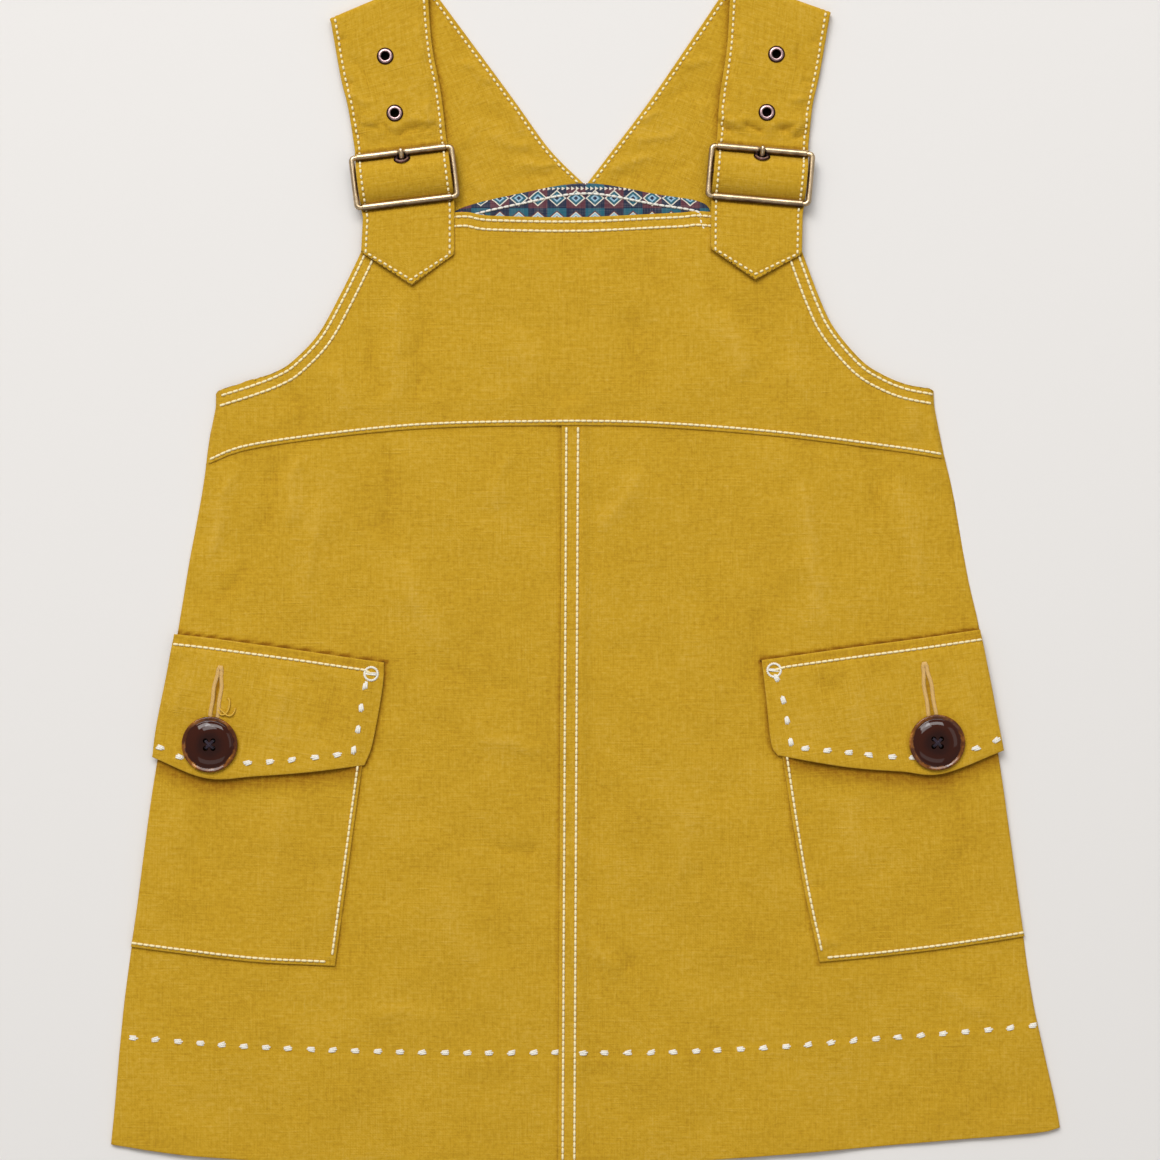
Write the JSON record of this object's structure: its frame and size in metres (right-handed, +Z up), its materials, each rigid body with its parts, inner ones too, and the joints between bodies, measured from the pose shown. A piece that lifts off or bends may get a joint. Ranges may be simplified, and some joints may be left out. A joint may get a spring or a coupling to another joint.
{
  "type": "pinafore dress laid flat",
  "caption": "Sleeveless pinafore dress laid flat: bib over a flared skirt with a centre seam, buckled straps from crossed shoulders, and flap pockets with round buttons.",
  "frame": {"origin": "middle of the laid-out dress, on the surface it lies on", "axes": "+X to the right as the front is looked at, +Y from the hem to the shoulders, +Z up out of the surface, through the front"},
  "size_m": [0.3988, 0.5003, 0.0092],
  "materials": {
    "ochre_cloth": "matt linen and cotton canvas, mustard ochre",
    "printed_cloth": "printed cotton, navy with teal, plum and cream figures",
    "antique_brass": "brushed and aged, dark in the corners",
    "eyelet_bronze": "dark coppery plating, lighter on the rim",
    "tortoiseshell": "polished, dark brown with amber edge",
    "thread": "cream cotton thread"
  },
  "bodies": {
    "root": {"back_panel": "ochre_cloth", "back_facing": "printed_cloth", "front_bib": "ochre_cloth", "front_skirt_left": "ochre_cloth", "front_skirt_right": "ochre_cloth", "pocket_left": "ochre_cloth", "pocket_right": "ochre_cloth", "flap_left": "ochre_cloth", "flap_right": "ochre_cloth", "strap_left": "ochre_cloth", "strap_right": "ochre_cloth", "buckle_tab_left": "ochre_cloth", "buckle_tab_right": "ochre_cloth", "buckle_frame_left": "antique_brass", "buckle_frame_right": "antique_brass", "roller_top_left": "antique_brass", "roller_top_right": "antique_brass", "roller_bottom_left": "antique_brass", "roller_bottom_right": "antique_brass", "prong_left": "antique_brass", "prong_right": "antique_brass", "eyelet_left_1": "eyelet_bronze", "eyelet_left_2": "eyelet_bronze", "eyelet_left_3": "eyelet_bronze", "eyelet_right_1": "eyelet_bronze", "eyelet_right_2": "eyelet_bronze", "eyelet_right_3": "eyelet_bronze", "button_left": "tortoiseshell", "button_right": "tortoiseshell", "button_thread_left": "thread", "button_thread_right": "thread"}
  },
  "joints": []
}
